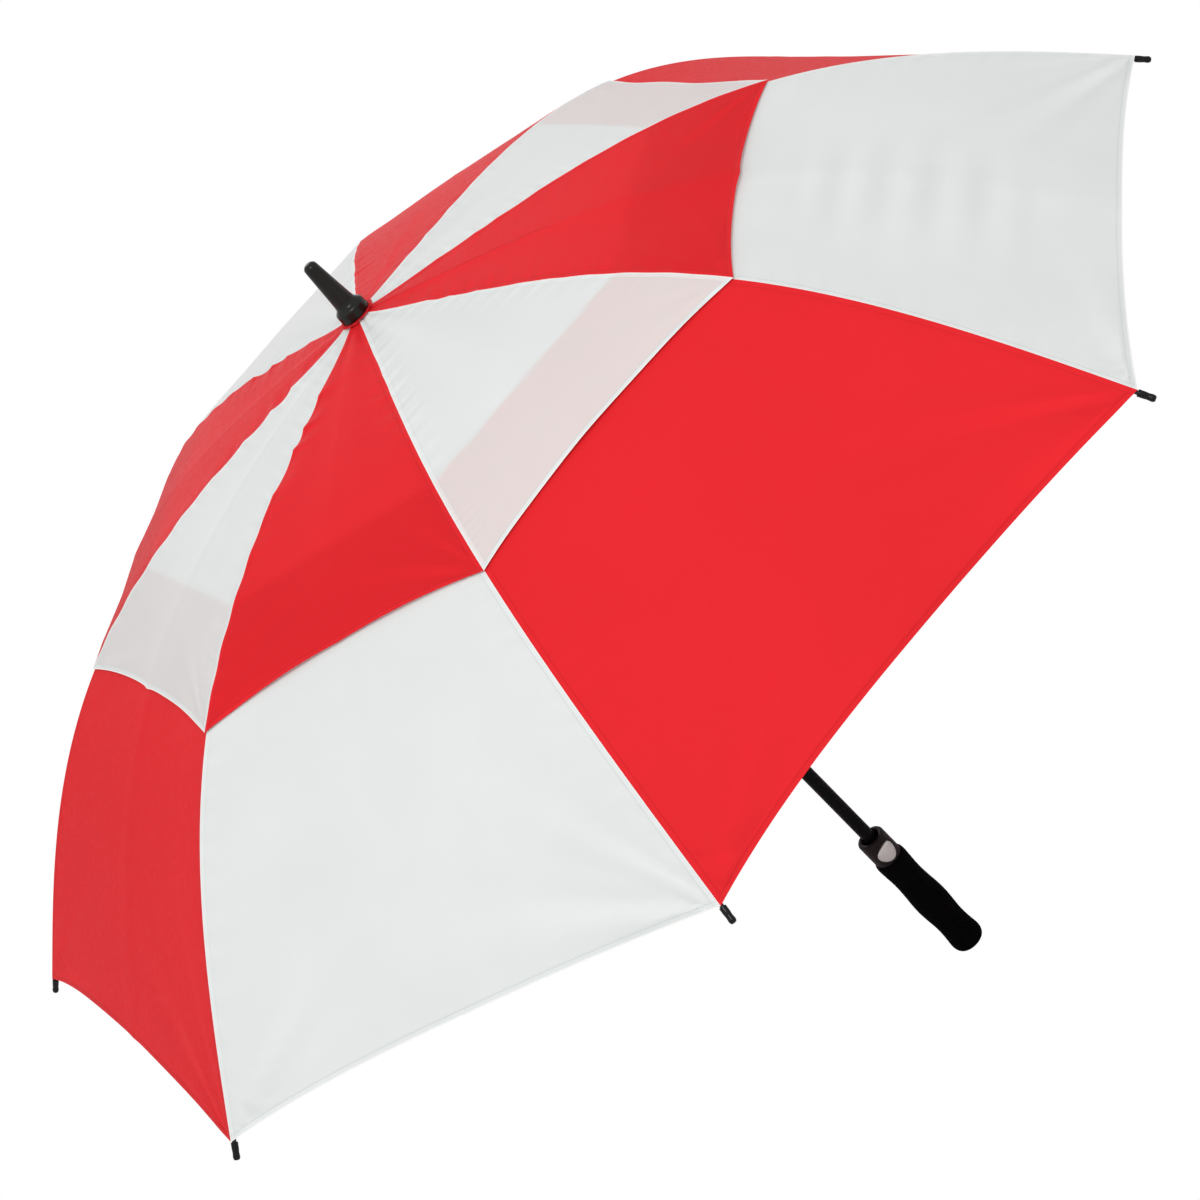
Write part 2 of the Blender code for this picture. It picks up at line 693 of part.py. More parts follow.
def handle_parts(metal):
    shaft(material("shaft_black", (0.012, 0.012, 0.013), 0.35, 0.0))
    foam_grip(material("foam_black", (0.008, 0.008, 0.009), 0.92))
    handle_collar(material("collar_black", (0.030, 0.022, 0.024), 0.55))
    push_button(material("button_silver", (0.55, 0.55, 0.56), 0.32, 0.9))
    coil("button_spring", 0.0026, 0.0003, 0.0, BUTTON_BACK_R - SPRING_SEAT_R - 0.0004, 3, 10, metal,
         along_button() @ Matrix.Translation((0.0, 0.0, SPRING_SEAT_R + 0.0002)))
    spring_top = RUNNER_PIVOT_Z - 0.0030 - CLEAR
    coil("opening_spring", 0.0046, 0.0006, SHAFT_BOTTOM + 0.0033, spring_top, 14, 8, metal)


def build():
    steel = material("rib_black", (0.016, 0.016, 0.018), 0.38, 0.4)
    plastic = material("cap_black", (0.010, 0.010, 0.011), 0.22)
    moulded = material("moulded_black", (0.014, 0.014, 0.014), 0.42)
    metal = material("spring_steel", (0.50, 0.50, 0.52), 0.35, 1.0)
    red = material("fabric_red", RED, 0.72)
    white = material("fabric_white", WHITE, 0.70)
    frame_parts(steel, plastic)
    canopy(red, white)
    closure_strap(material("strap_red", RED, 0.75))
    top_notch(moulded)
    notch_wire(metal)
    runner(moulded)
    ferrule(material("ferrule_black", (0.016, 0.016, 0.015), 0.40))
    rosette(material("washer_red", RED, 0.70))
    handle_parts(metal)


empty_scene()
PARTS = collection("golf_umbrella")
SCRAP = collection("cutters")
SCRAP.hide_render = True
build()
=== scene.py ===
"""Visual model of the vented golf umbrella: cloth panels, moulded parts, finishes, studio and camera."""
import json
import math

import bmesh
import bpy
import numpy as np
from mathutils import Matrix, Vector


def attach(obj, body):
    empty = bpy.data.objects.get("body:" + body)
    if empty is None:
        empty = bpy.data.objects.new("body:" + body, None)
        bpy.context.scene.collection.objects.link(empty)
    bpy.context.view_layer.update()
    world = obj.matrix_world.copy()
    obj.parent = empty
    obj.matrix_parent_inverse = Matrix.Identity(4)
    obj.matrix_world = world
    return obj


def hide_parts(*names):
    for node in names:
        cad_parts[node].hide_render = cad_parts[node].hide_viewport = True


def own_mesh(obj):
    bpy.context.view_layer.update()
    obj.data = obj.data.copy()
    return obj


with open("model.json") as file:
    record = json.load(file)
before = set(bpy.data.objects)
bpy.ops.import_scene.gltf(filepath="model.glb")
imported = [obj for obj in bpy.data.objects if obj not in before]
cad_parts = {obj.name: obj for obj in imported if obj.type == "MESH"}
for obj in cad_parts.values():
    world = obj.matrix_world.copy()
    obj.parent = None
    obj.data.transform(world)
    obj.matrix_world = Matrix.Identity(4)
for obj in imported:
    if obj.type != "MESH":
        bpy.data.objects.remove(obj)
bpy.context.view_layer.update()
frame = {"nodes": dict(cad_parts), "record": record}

# Rib frame, in metres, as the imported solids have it: a rib's height falls with its radius by a lean,
# a bend and an ease
PANELS = 8
PANEL_ANGLE = 2 * math.pi / PANELS
HALF_PANEL = PANEL_ANGLE / 2
RIB_TOP = 0.9205
RIB_LEAN = 0.1171
RIB_BEND = 3.897
BEND_POWER = 4.5
RIB_EASE = 3.775
EASE_POWER = 5.5
TIP_R = 0.660
UPPER_HEM_R = 0.402
LOWER_INNER_R = 0.298
APEX_HOLE_R = 0.0105
APEX_RISE = 0.0006

# Cloth, in metres: height over the rib line, hang between the ribs and cut of the hems
UPPER_LIFT = 0.0052
LOWER_LIFT = 0.0033
UPPER_SCALLOP = 0.0105
LOWER_SCALLOP = (0.0085, 0.0105, 0.0075, 0.0105, 0.0105, 0.0105, 0.0105, 0.0105)
UPPER_SAG = -0.002
LOWER_SAG = (0.001, 0.002, 0.000, 0.001, 0.001, 0.001, 0.001, -0.002)
LOWER_DIP = (0.0, 0.0, 0.0, 0.0, 0.0, 0.0, 0.0, 0.016)
HEM_POWER = 2.6
HEM_KINK = 0.0018
HEM_SKEW = (0.0, 0.30, 0.30, 0.30, 0.20, 0.20, 0.20, 0.20)
HEM_FOLD = 0.0045
HEM_DROP = 0.0005
ALLOWANCE = 0.0050
CREASED = (1.0, 0.0, 0.35, 1.0, 1.0, 0.4, 0.6, 0.0)
COLUMNS = 44
COLUMN_EASE = 0.65
PLEATED_TO = 0.56
PLEATED_ROWS = 90
PLAIN_ROWS = 34
LOWER_ROWS = 56

# Where the upper seam is tied to its rib, and how slack it hangs between the ties
TIE_RADII = (0.0125, 0.086, 0.120, 0.150, 0.192, 0.402)
TIE_JITTER = 0.005
TIE_DROP = (0.0018, 0.0030, 0.0032, 0.0032, 0.0012)
TIE_SWAY = 0.0014
TIE_SLACK = (0.30, 0.50, 0.25, 1.0, 1.0, 1.0, 0.50, 0.25)
TIE_REACH = 0.016
SLACK_RIPPLE = 0.0005
SLACK_PERIOD = 0.041

# Wrinkles: heights, reaches and periods in metres; a pair is (height, period) or (reach, height)
SWELL_HEIGHT = 0.0008
CREASE_HEIGHT = 0.0006
CREASE_REACH = 0.004
PUCKER_REACH = 0.007
PUCKERS = ((0.00016, 0.021), (0.00010, 0.0113))
UPPER_PULL = (0.055, 0.0007)
LOWER_PULL = (0.085, 0.0010)
HEM_RIPPLE = 0.0006
HEM_RIPPLE_REACH = 0.05
MARKED_GORE = 0
MARK_HEIGHT = 0.0007
MARK_PERIOD = 0.033
# Slope of the wrinkles at which their painted shade in the cloth's colour is full
FOLD_SLOPE = 0.16

# The inner rim of the lower layer, as it shows through each upper panel: painted see-through light, tinted into
# the white cloth's colour
BAND_SOFT = 0.0012
BAND_BOW = 0.003
BAND_SHARE = (0.0, 1.0, 0.0, 0.16, 0.0, 0.40, 0.0, 0.55)

# Fittings, in metres
STRAP_GORE = 5
STRAP_WIDTH = 0.024
STRAP_SPAN = (0.43, 0.57)
STRAP_LIFT = 0.0008
STRAP_THICK = 0.0009
ROSETTE_R = 0.0177
ROSETTE_BORE_R = 0.0078
ROSETTE_Z = 0.9258
ROSETTE_THICK = 0.0004
FERRULE_SPAN = (0.9268, 0.9900)
FERRULE_BORE = (0.0073, 0.0200)
CAP_LENGTH = 0.0152
BUTTON_AZIMUTH = math.radians(-70.0)
BUTTON_Z = 0.1530
BUTTON_HEIGHT = 0.0218
BUTTON_WIDTH = 0.0194
BUTTON_LEAN = math.radians(40.0)
BUTTON_FACE_R = 0.0158
EGG_TAPER = 0.17
OPENING_SPRING_SPAN = (0.0133, 0.5867)
OPENING_COIL = (0.0046, 0.0006)
OPENING_TURNS = 34
BUTTON_SPRING_SPAN = (0.0085, 0.0118)
BUTTON_COIL = (0.0026, 0.0003)
BUTTON_TURNS = 3
ROUND_STEPS = 96

# Linear colours
RED = (0.810, 0.0245, 0.0315)
WHITE = (0.775, 0.805, 0.795)
# painted see-through light: the red lower layer's tint in the white cloth above it
SEE_THROUGH_TINT = (0.800, 0.730, 0.715)
STITCH_GREY = (0.55, 0.62, 0.63)
# painted shade of the crease down the middle of an upper panel
CREASE_SHADE_GREY = (0.50, 0.55, 0.56)
EDGE_WHITE = (0.93, 0.92, 0.89)
# painted sheen: the whitening of cloth seen at a grazing angle
PAINTED_SHEEN_WHITE = (0.88, 0.86, 0.86)
SHEEN_TINT = (1.0, 0.96, 0.96)
FLOOR_GREY = (0.86, 0.86, 0.86)
PLAIN_WHITE = (1.0, 1.0, 1.0)

# The cloth's fine relief: fineness of the weave, and heights in metres
WEAVE_SCALE = 620.0
WEAVE_HEIGHT = 0.00004
CRINKLE_HEIGHT = 0.00012
ALLOWANCE_HEIGHT = 0.00035
STITCH_HEIGHT = -0.00015
GATHER_HEIGHT = 0.0007

# Studio, in metres and linear light: the world's zones run from the first edge to the second
CAMERA_AT = (0.4279, -2.4925, 1.7641)
CAMERA_FORWARD = (-0.1614, 0.8886, -0.4293)
CAMERA_UP = (0.6376, 0.4259, 0.6419)
CAMERA_LENS = 90.27
SENSOR_WIDTH = 36.0
FLOOR_HALF = 40.0
WORLD_LIGHT = 0.88
BACKDROP_TOWARDS = (-0.15, 0.98, 0.10)
BACKDROP_EDGE = (0.88, 0.98)
BACKDROP_LIGHT = 1.3
REAR_EDGE = (0.05, 0.50)
REAR_LIGHT = 0.62
KEY_AT = (0.5, -2.3, 3.6)
KEY_POWER = 38.0
KEY_SIZE = 1.3
KEY_AIM = (0.0, 0.0, 0.75)


def rib_height(radius):
    """Height of the rib line at this radius."""
    drop = RIB_LEAN * radius + RIB_BEND * radius ** BEND_POWER - RIB_EASE * radius ** EASE_POWER
    return RIB_TOP - drop


def rib_slope(radius):
    """Angle of the rib below level at this radius."""
    r = np.maximum(radius, 0.0)
    bend = BEND_POWER * RIB_BEND * r ** (BEND_POWER - 1)
    ease = EASE_POWER * RIB_EASE * r ** (EASE_POWER - 1)
    return np.arctan(RIB_LEAN + bend - ease)


def beside_rib(radius, along, up):
    """Point in the rib's plane, from the rib line at this radius, along it and square to it."""
    angle = rib_slope(radius)
    x = radius + along * np.cos(angle) + up * np.sin(angle)
    z = rib_height(radius) - along * np.sin(angle) + up * np.cos(angle)
    return x, z


def turn_z(points, angle):
    """Points turned about Z."""
    c, s = math.cos(angle), math.sin(angle)
    x, y, z = points[..., 0], points[..., 1], points[..., 2]
    return np.stack([x * c - y * s, x * s + y * c, z], -1)


# ---------------------------------------------------------------- meshes


def mesh_object(name, points, faces, uv=None, values=None, smooth=True):
    """Mesh from points and faces, with an optional UV map and per-point values."""
    mesh = bpy.data.meshes.new(name)
    mesh.from_pydata([tuple(p) for p in points], [], [tuple(int(i) for i in f) for f in faces])
    mesh.update()
    if uv is not None:
        layer = mesh.uv_layers.new(name="Cloth")
        index = np.zeros(len(mesh.loops), dtype=np.int64)
        mesh.loops.foreach_get("vertex_index", index)
        layer.data.foreach_set("uv", np.asarray(uv, float)[index].astype(np.float32).ravel())
    for key, data in (values or {}).items():
        layer = mesh.attributes.new(key, "FLOAT", "POINT")
        layer.data.foreach_set("value", np.asarray(data, float).astype(np.float32).ravel())
    if smooth:
        mesh.shade_smooth()
    made = bpy.data.objects.new(name, mesh)
    bpy.context.scene.collection.objects.link(made)
    return made


def grid_faces(rows, columns):
    """Quads of a grid of (rows + 1) by (columns + 1) points."""
    faces = []
    for r in range(rows):
        for c in range(columns):
            a = r * (columns + 1) + c
            faces.append((a, a + columns + 1, a + columns + 2, a + 1))
    return faces


def lathe(name, profile, steps, sharp=50):
    """Turned solid about Z from (radius, height) points given top to bottom; ends on the axis close it."""
    profile = np.asarray(profile, float)
    count = len(profile)
    angles = np.linspace(0, 2 * math.pi, steps, endpoint=False)
    rings = [i for i in range(count) if profile[i, 0] > 1e-7]
    points, start = [], {}
    for i in range(count):
        start[i] = len(points)
        if i in rings:
            for a in angles:
                points.append((profile[i, 0] * math.cos(a), profile[i, 0] * math.sin(a), profile[i, 1]))
        else:
            points.append((0.0, 0.0, profile[i, 1]))
    faces = []
    for i in range(count - 1):
        for j in range(steps):
            k = (j + 1) % steps
            top = [start[i] + j, start[i] + k] if i in rings else [start[i]]
            low = [start[i + 1] + k, start[i + 1] + j] if i + 1 in rings else [start[i + 1]]
            if len(top) + len(low) > 2:
                faces.append((top + low)[::-1])
    made = mesh_object(name, points, faces)
    made.data.set_sharp_from_angle(angle=math.radians(sharp))
    return made


def rounded(points, steps):
    """Smooth curve through (radius, height) points."""
    p = np.asarray(points, float)
    out = []
    for i in range(len(p) - 1):
        a = p[max(i - 1, 0)]
        b, c = p[i], p[i + 1]
        d = p[min(i + 2, len(p) - 1)]
        square, cube = 2 * a - 5 * b + 4 * c - d, 3 * b - a - 3 * c + d
        for t in np.linspace(0, 1, steps, endpoint=False):
            out.append(0.5 * (2 * b + (c - a) * t + square * t * t + cube * t ** 3))
    out.append(p[-1])
    return np.array(out)


def fillet(points, radius, steps):
    """Polyline with its inner corners rounded."""
    p = np.asarray(points, float)
    out = [p[0]]
    for a, b, c in zip(p, p[1:], p[2:]):
        u, v = a - b, c - b
        reach = min(radius, 0.45 * np.linalg.norm(u), 0.45 * np.linalg.norm(v))
        first = b + u / np.linalg.norm(u) * reach
        last = b + v / np.linalg.norm(v) * reach
        for t in np.linspace(0, 1, steps + 1):
            out.append((1 - t) ** 2 * first + 2 * t * (1 - t) * b + t * t * last)
    out.append(p[-1])
    return np.array(out)


# ---------------------------------------------------------------- cloth panels


def smooth_step(value, low, high):
    """0 below low, 1 above high, eased between."""
    t = np.clip((value - low) / (high - low), 0, 1)
    return t * t * (3 - 2 * t)


def tie_points(rib):
    """Radii at which the upper seam is tied to this rib, each a little off the nominal one."""
    inner = [r + TIE_JITTER * math.sin(2.3 * rib + 1.9 * i) for i, r in enumerate(TIE_RADII[1:-1])]
    return [TIE_RADII[0], *inner, TIE_RADII[-1]]


def tie_wave(rib, radius):
    """Sideways sway and drop of the upper seam over one rib: held up at its ties and slack between them."""
    sway, drop = np.zeros_like(radius), np.zeros_like(radius)
    ties = tie_points(rib)
    for i, (low, high) in enumerate(zip(ties, ties[1:])):
        t = np.clip((radius - low) / (high - low), 0, 1)
        arc = np.sin(math.pi * t)
        side = math.sin(2.9 * rib + 1.3 * i + 0.6)
        sway += arc * side * TIE_SWAY
        drop += arc ** 0.75 * TIE_DROP[i] * (0.75 + 0.25 * math.cos(1.7 * rib + i))
    slack = smooth_step(radius, 0.20, 0.24) * (1 - smooth_step(radius, 0.36, 0.40))
    drop += SLACK_RIPPLE * slack * np.sin(2 * math.pi * radius / SLACK_PERIOD + 1.3 * rib)
    return sway * TIE_SLACK[rib], drop * TIE_SLACK[rib]


def cloth_relief(upper, gore, radius, across, width, hem_gap):
    """Small wrinkles of the stretched cloth, along its normal: zero on the seams."""
    seam = (1 - np.abs(across)) * width
    edge = 1 - across ** 2
    relief = np.zeros_like(radius)
    phase = 1.7 * gore + (0.9 if upper else 0.0)
    # slow hollows across the panel
    swell = np.sin(9.0 * radius + 3.1 * across + phase) * np.cos(5.0 * radius - 2.0 * across + phase)
    relief += SWELL_HEIGHT * edge * swell
    # the fold the closed cloth keeps along its middle
    crease = np.exp(-np.abs(across) * width / CREASE_REACH) * smooth_step(radius, 0.02, 0.08)
    relief += CREASE_HEIGHT * CREASED[gore] * crease
    # puckers beside the stitched seams
    pucker = (seam / PUCKER_REACH) * np.exp(1 - seam / PUCKER_REACH)
    (broad, broad_period), (fine, fine_period) = PUCKERS
    relief += broad * pucker * np.sin(2 * math.pi * radius / broad_period + 2.1 * np.sign(across) + phase)
    relief += fine * pucker * np.sin(2 * math.pi * radius / fine_period + phase * 1.3)
    # pull lines that fan out of the two hem corners
    reach, height = UPPER_PULL if upper else LOWER_PULL
    for side in (-1, 1):
        from_seam = (1 - side * across) * width
        distance = np.hypot(from_seam, hem_gap) + 1e-6
        bearing = np.arctan2(from_seam, hem_gap + 1e-6)
        fade = np.exp(-distance / reach) * smooth_step(distance, 0.004, 0.030)
        waves = np.sin(9.0 * bearing + 1.3 * side + phase) + 0.6 * np.sin(17.0 * bearing + phase * 2)
        relief += height * fade * waves * np.sin(bearing) * 1.2
    # soft ripple of the free hem
    ripple = np.exp(-hem_gap / HEM_RIPPLE_REACH) * edge
    relief += HEM_RIPPLE * ripple * np.sin(7.0 * across + phase)
    # packing marks across one lower panel
    if not upper and gore == MARKED_GORE:
        spots = np.exp(-((across + 0.12) / 0.30) ** 2) * smooth_step(radius, 0.42, 0.47)
        spots = spots * (1 - smooth_step(radius, 0.56, 0.62))
        lines = np.sin(2 * math.pi * radius / MARK_PERIOD + 0.5 * across)
        relief += MARK_HEIGHT * spots * np.sign(lines) * np.abs(lines) ** 1.6
    return relief


def gore_surface(upper, gore, share, across):
    """Points of one panel with its middle on +X, and their radius, distances to seam and hem, and rise."""
    low, high = (APEX_HOLE_R, UPPER_HEM_R) if upper else (LOWER_INNER_R, TIP_R)
    scallop = UPPER_SCALLOP if upper else LOWER_SCALLOP[gore]
    lift = UPPER_LIFT if upper else LOWER_LIFT
    sag = UPPER_SAG if upper else LOWER_SAG[gore]
    skew = 1.0 if upper else 1 - HEM_SKEW[gore] * across
    hem = high - scallop * skew * (1 - np.abs(across) ** HEM_POWER)
    if upper:
        hem = hem + HEM_KINK * CREASED[gore] * np.exp(-np.abs(across) / 0.07)
    radius = low + (hem - low) * share
    slope = np.arctan(np.tan(rib_slope(radius)) / math.cos(HALF_PANEL))
    width = radius * math.sin(HALF_PANEL)
    hollow = sag * (width / TIP_R) * 2 * (1 - across ** 2)
    if not upper:
        dip = (1 - share) * smooth_step(share, 0.0, 0.20) * (1 - across ** 2)
        hollow = hollow + LOWER_DIP[gore] * dip
    rib_x, rib_z = beside_rib(radius, 0.0, lift)
    x = rib_x * math.cos(HALF_PANEL)
    y = across * rib_x * math.sin(HALF_PANEL)
    z = rib_z.copy()
    hem_gap = (hem - radius) / np.cos(rib_slope(radius))
    raised = cloth_relief(upper, gore, radius, across, width, hem_gap) - hollow
    x = x + raised * np.sin(slope)
    z = z + raised * np.cos(slope)
    if upper:
        for side, rib in ((1, gore), (-1, gore + 1)):
            sway, drop = tie_wave(rib % PANELS, radius)
            near = np.exp(-((1 - side * across) * width / TIE_REACH) ** 1.5)
            angle = side * HALF_PANEL
            steep = rib_slope(radius)
            x = x + near * (-math.sin(angle) * sway - math.cos(angle) * np.sin(steep) * drop)
            y = y + near * (math.cos(angle) * sway - math.sin(angle) * np.sin(steep) * drop)
            z = z - near * np.cos(steep) * drop
        z = z + APEX_RISE * np.exp(-((radius - APEX_HOLE_R) / 0.010) ** 2)
    points = np.stack([x, y, z], -1)
    seam = (1 - np.abs(across)) * width
    return points, radius, seam, hem_gap, raised


def spread(count, ease):
    """Even steps from -1 to 1 drawn in towards both ends."""
    t = np.linspace(-1, 1, count + 1)
    return (1 - ease) * t + ease * np.sin(t * math.pi / 2)


def fold_shade(raised, radius, side):
    """How far each spot of the cloth leans out of the light, from -1 to 1."""
    along = np.gradient(raised, axis=0) / np.gradient(radius, axis=0)
    step = np.gradient(side * radius * math.sin(HALF_PANEL), axis=1)
    across = np.gradient(raised, axis=1) / np.maximum(step, 0.0003)
    return np.clip((0.8 * across - along) / FOLD_SLOPE, -1, 1)


def cloth_panel(upper, gore):
    """One cloth panel as a single curved sheet whose free edges fold under as a hem."""
    name = ("upper_cloth_" if upper else "lower_cloth_") + str(gore)
    across = spread(COLUMNS, COLUMN_EASE)
    if upper:
        plain = np.linspace(PLEATED_TO + 0.005, 1, PLAIN_ROWS)
        body = np.concatenate([np.linspace(0, PLEATED_TO, PLEATED_ROWS), plain])
    else:
        body = np.linspace(0, 1, LOWER_ROWS)
    length = (UPPER_HEM_R - APEX_HOLE_R) if upper else (TIP_R - LOWER_INNER_R)
    near = [1 - HEM_FOLD / length, 1 - 0.5 * HEM_FOLD / length, 1.0]
    body = np.concatenate([body[body < near[0] - 0.004], near])
    share, side = np.meshgrid(body, across, indexing="ij")
    points, radius, seam, gap, raised = gore_surface(upper, gore, share, side)
    under, *_ = gore_surface(upper, gore, np.full((1, len(across)), near[1]), across[None, :])
    folded, fold_r, fold_seam, fold_gap, _ = gore_surface(
        upper, gore, np.full((1, len(across)), near[0] + 0.0004), across[None, :]
    )
    shade = fold_shade(raised, radius, side)
    drop = np.array([0.0, 0.0, -HEM_DROP])
    all_points = np.concatenate([points, under + drop, folded + drop])
    all_radius = np.concatenate([radius, radius[-1:], fold_r])
    all_seam = np.concatenate([seam, seam[-1:], fold_seam])
    all_gap = np.concatenate([gap, np.full_like(gap[-1:], 0.001), fold_gap])
    placed = turn_z(all_points, -PANEL_ANGLE * (gore + 0.5)).reshape(-1, 3)
    uv = np.stack([all_points[..., 1], all_radius], -1).reshape(-1, 2)
    middle = np.abs(all_points[..., 1]) + 0.02 * (1 - CREASED[gore]) if upper else np.ones_like(all_radius)
    middle = middle + 0.01 * smooth_step(all_radius, 0.20, 0.30)
    from_middle = np.abs(all_points[..., 1]) / (LOWER_INNER_R * math.sin(HALF_PANEL))
    inner_edge = LOWER_INNER_R + BAND_BOW * (1 - from_middle)
    under_layer = smooth_step(all_radius, inner_edge - BAND_SOFT, inner_edge + BAND_SOFT)
    under_layer = under_layer * (BAND_SHARE[gore] if upper else 0.0)
    values = {
        "middle": middle.reshape(-1),
        "seam": all_seam.reshape(-1),
        "hem": all_gap.reshape(-1),
        "under": under_layer.reshape(-1),
        "fold": np.concatenate([shade, shade[-1:], shade[-1:]]).reshape(-1),
    }
    made = mesh_object(name, placed, grid_faces(len(all_points) - 1, COLUMNS), uv, values)
    made.data.set_sharp_from_angle(angle=math.radians(75))
    return made


# ---------------------------------------------------------------- finishes


class Shader:
    """Short form for building node materials."""

    def __init__(self, name):
        self.material = bpy.data.materials.new(name)
        self.material.use_nodes = True
        self.tree = self.material.node_tree
        self.tree.nodes.clear()
        self.out = self.node("ShaderNodeOutputMaterial")

    def node(self, kind, inputs=None, **settings):
        made = self.tree.nodes.new(kind)
        for key, value in settings.items():
            setattr(made, key, value)
        for key, value in (inputs or {}).items():
            self.set(made, key, value)
        return made

    def set(self, node, key, value):
        socket = node.inputs[key]
        if isinstance(value, bpy.types.NodeSocket):
            self.tree.links.new(value, socket)
        else:
            socket.default_value = value

    def math(self, operation, a, b=0.0):
        return self.node("ShaderNodeMath", {0: a, 1: b}, operation=operation).outputs[0]

    def product(self, first, *others):
        for other in others:
            first = self.math("MULTIPLY", first, other)
        return first

    def mix_colour(self, share, a, b, blend="MIX"):
        made = self.node("ShaderNodeMix", data_type="RGBA", blend_type=blend)
        self.set(made, 0, share)
        self.set(made, 6, a)
        self.set(made, 7, b)
        return made.outputs[2]

    def attribute(self, name):
        return self.node("ShaderNodeAttribute", attribute_name=name).outputs["Fac"]

    def noise(self, scale, detail, rough, where):
        inputs = {"Scale": scale, "Detail": detail, "Roughness": rough, "Vector": where}
        return self.node("ShaderNodeTexNoise", inputs).outputs["Fac"]

    def wave(self, scale, distortion, detail, detail_scale, where, direction):
        inputs = {"Vector": where, "Scale": scale, "Distortion": distortion}
        inputs |= {"Detail": detail, "Detail Scale": detail_scale}
        return self.node("ShaderNodeTexWave", inputs, bands_direction=direction).outputs["Fac"]

    def bump(self, height, strength):
        return self.node("ShaderNodeBump", {"Height": height, "Strength": strength, "Distance": 1.0}).outputs[0]

    def ramp(self, value, low, high, to_low=0.0, to_high=1.0):
        made = self.node(
            "ShaderNodeMapRange",
            {0: value, 1: low, 2: high, 3: to_low, 4: to_high},
            interpolation_type="SMOOTHSTEP",
            clamp=True,
        )
        return made.outputs[0]

    def finish(self, surface):
        self.tree.links.new(surface, self.out.inputs["Surface"])
        return self.material


def rgb(colour):
    """Opaque colour for a socket."""
    return (*colour, 1.0)


def line_at(shader, value, centre, half):
    """1 on a thin line where value is centre, 0 away from it."""
    gap = shader.math("ABSOLUTE", shader.math("SUBTRACT", value, centre))
    return shader.ramp(gap, 0.0, half, 1.0, 0.0)


